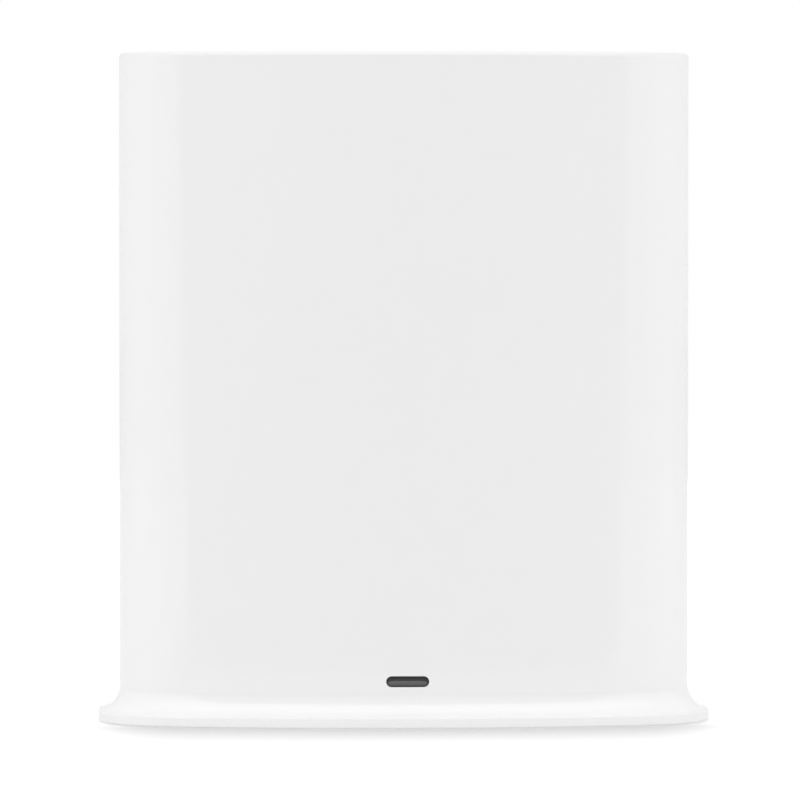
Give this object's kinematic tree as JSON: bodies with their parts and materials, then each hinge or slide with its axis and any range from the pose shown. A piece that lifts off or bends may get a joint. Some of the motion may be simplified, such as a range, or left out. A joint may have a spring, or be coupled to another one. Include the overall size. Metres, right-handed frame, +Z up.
{
  "type": "security camera base station",
  "caption": "Upright white hub with a bowed front, flared foot and status light, and rear power, network and USB ports, buttons and a siren; it links wireless cameras to a home network.",
  "frame": {"origin": "on the table under the middle of the foot's bounding box, at the underside of the rubber feet", "axes": "+Z up; the front with the status light faces -Y; the ports face +Y; +X is to the right seen from the front"},
  "size_m": [0.1542, 0.0586, 0.1683],
  "materials": {
    "white_plastic": "semi-gloss moulded",
    "base_plastic": "fine-textured moulded",
    "foot_rubber": "matt",
    "screw_steel": "zinc plated",
    "smoked_lens": "smoked, polished",
    "clear_acrylic": "polished",
    "black_plastic": "moulded",
    "led_body": "moulded, with a yellow phosphor face",
    "board_laminate": "green solder mask",
    "chip_black": "moulded",
    "thermal_pad": "soft",
    "sink_aluminium": "extruded",
    "white_nylon": "moulded",
    "tinned_steel": "tin plated",
    "capacitor_can": "drawn can",
    "contact_gold": "gold plated",
    "usb_insulator": "moulded",
    "siren_plastic": "moulded",
    "siren_film": "formed film",
    "magnet_steel": "nickel plated",
    "gasket_foam": "closed-cell foam",
    "lead_sheath": "smooth sheath",
    "antenna_laminate": "bare laminate with copper",
    "cable_sheath": "smooth sheath"
  },
  "bodies": {
    "station": {"front_shell": "white_plastic", "rear_shell": "white_plastic", "base_plate": "base_plastic", "rubber_feet": "foot_rubber", "base_screws": "screw_steel", "status_lens": "smoked_lens", "light_guide": "clear_acrylic", "light_guide_holder": "black_plastic", "status_led": "led_body", "main_board": "board_laminate", "board_screws": "screw_steel", "processor": "chip_black", "thermal_pad": "thermal_pad", "heat_sink": "sink_aluminium", "heat_sink_pins": "white_nylon", "shield_can_left": "tinned_steel", "shield_can_right": "tinned_steel", "network_transformer": "chip_black", "inductor": "chip_black", "capacitors": "capacitor_can", "memory_chip": "chip_black", "ethernet_jack_shell": "tinned_steel", "ethernet_jack_insert": "black_plastic", "ethernet_contacts": "contact_gold", "usb_shell": "tinned_steel", "usb_tongue": "usb_insulator", "usb_contacts": "contact_gold", "power_jack": "black_plastic", "power_jack_pin": "tinned_steel", "sync_switch": "black_plastic", "power_switch": "black_plastic", "reset_switch": "black_plastic", "siren_grille": "white_plastic", "siren_gasket": "gasket_foam", "siren_frame": "siren_plastic", "siren_cone": "siren_film", "siren_magnet": "magnet_steel", "siren_screws": "screw_steel", "siren_leads": "lead_sheath", "siren_plug": "white_nylon", "antenna_left": "antenna_laminate", "antenna_right": "antenna_laminate", "antenna_top": "antenna_laminate", "antenna_foam": "gasket_foam", "antenna_cable_left": "cable_sheath", "antenna_cable_right": "cable_sheath", "antenna_cable_top": "cable_sheath", "antenna_plugs": "contact_gold"},
    "sync_button": {"sync_button": "white_plastic", "sync_plunger": "siren_plastic"},
    "power_button": {"power_button": "white_plastic", "power_plunger": "siren_plastic"},
    "reset_button": {"reset_plunger": "siren_plastic"}
  },
  "joints": [
    {"name": "sync_press", "type": "slide", "parent": "station", "child": "sync_button", "axis": [0, -1, 0], "range_m": [0, 0.0005], "stiffness_N_per_m": 800, "springref_m": -0.001},
    {"name": "power_press", "type": "slide", "parent": "station", "child": "power_button", "axis": [0, -1, 0], "range_m": [0, 0.0018], "stiffness_N_per_m": 400, "springref_m": -0.002},
    {"name": "reset_press", "type": "slide", "parent": "station", "child": "reset_button", "axis": [0, -1, 0], "range_m": [0, 0.0003], "stiffness_N_per_m": 1500, "springref_m": -0.0004}
  ]
}
